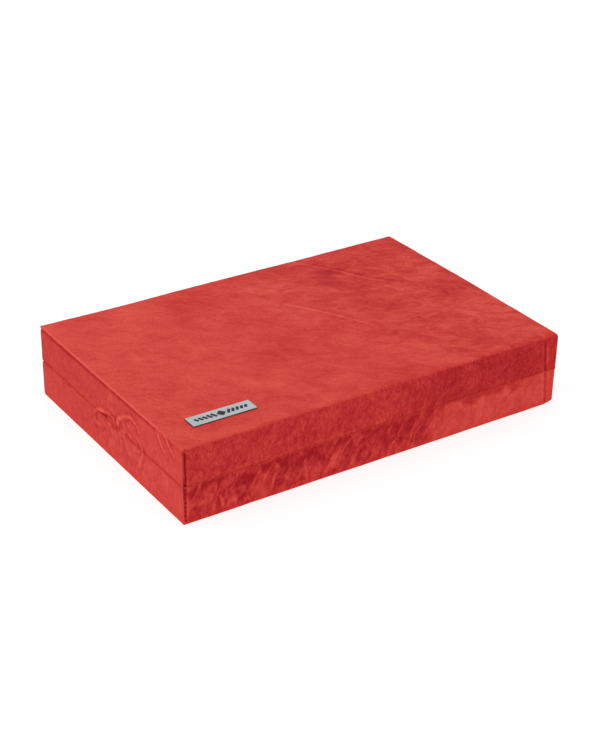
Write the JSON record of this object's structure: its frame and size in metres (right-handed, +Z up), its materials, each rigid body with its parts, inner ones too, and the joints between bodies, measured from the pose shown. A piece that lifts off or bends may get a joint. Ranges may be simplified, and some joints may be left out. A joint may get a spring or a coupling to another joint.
{
  "type": "fire blanket",
  "caption": "Velour-covered rectangular case with a hinged lid and a metal name plate, holding a folded glass-cloth fire blanket with pull tapes.",
  "frame": {"origin": "centre of the bottom face, on the surface that the case stands on", "axes": "+X along the length, towards the right end as seen from the front; +Y from the front to the hinged back; +Z up"},
  "size_m": [0.42, 0.28, 0.0771],
  "materials": {
    "velour": "red velour with a short brushed pile",
    "board": "plain greyboard",
    "lining": "dark red flocked lining",
    "bottom_felt": "black felt",
    "foam": "open-cell foam",
    "hinge_steel": "nickel-plated steel",
    "magnet": "plated magnet",
    "glass_cloth": "woven glass fibre, off-white",
    "webbing": "black woven tape",
    "plate_metal": "satin anodised plate with a dark border line",
    "adhesive": "dark adhesive film"
  },
  "bodies": {
    "base": {"base_bottom_sheet": "bottom_felt", "base_floor_board": "board", "base_front_board": "board", "base_back_board": "board", "base_left_board": "board", "base_right_board": "board", "base_cover": "velour", "base_wall_lining": "lining", "base_floor_lining": "lining", "base_magnet_left": "magnet", "base_magnet_right": "magnet", "base_hinge_leaf_left": "hinge_steel", "base_hinge_leaf_right": "hinge_steel", "hinge_pin_left": "hinge_steel", "hinge_pin_right": "hinge_steel", "base_hinge_screw_1": "hinge_steel", "base_hinge_screw_2": "hinge_steel", "base_hinge_screw_3": "hinge_steel", "base_hinge_screw_4": "hinge_steel", "folded_blanket": "glass_cloth", "pull_tape_left": "webbing", "pull_tape_right": "webbing"},
    "lid": {"lid_top_board": "board", "lid_padding": "foam", "lid_front_board": "board", "lid_back_board": "board", "lid_left_board": "board", "lid_right_board": "board", "lid_cover": "velour", "lid_wall_lining": "lining", "lid_top_lining": "lining", "lid_strike_left": "hinge_steel", "lid_strike_right": "hinge_steel", "lid_hinge_leaf_left": "hinge_steel", "lid_hinge_leaf_right": "hinge_steel", "lid_hinge_screw_1": "hinge_steel", "lid_hinge_screw_2": "hinge_steel", "lid_hinge_screw_3": "hinge_steel", "lid_hinge_screw_4": "hinge_steel", "label_adhesive": "adhesive", "label_plate": "plate_metal"}
  },
  "joints": [
    {"name": "lid_hinge", "type": "hinge", "parent": "base", "child": "lid", "pos_m": [0, 0.138, 0.038], "axis": [-1, 0, 0], "range_deg": [0, 100]}
  ]
}
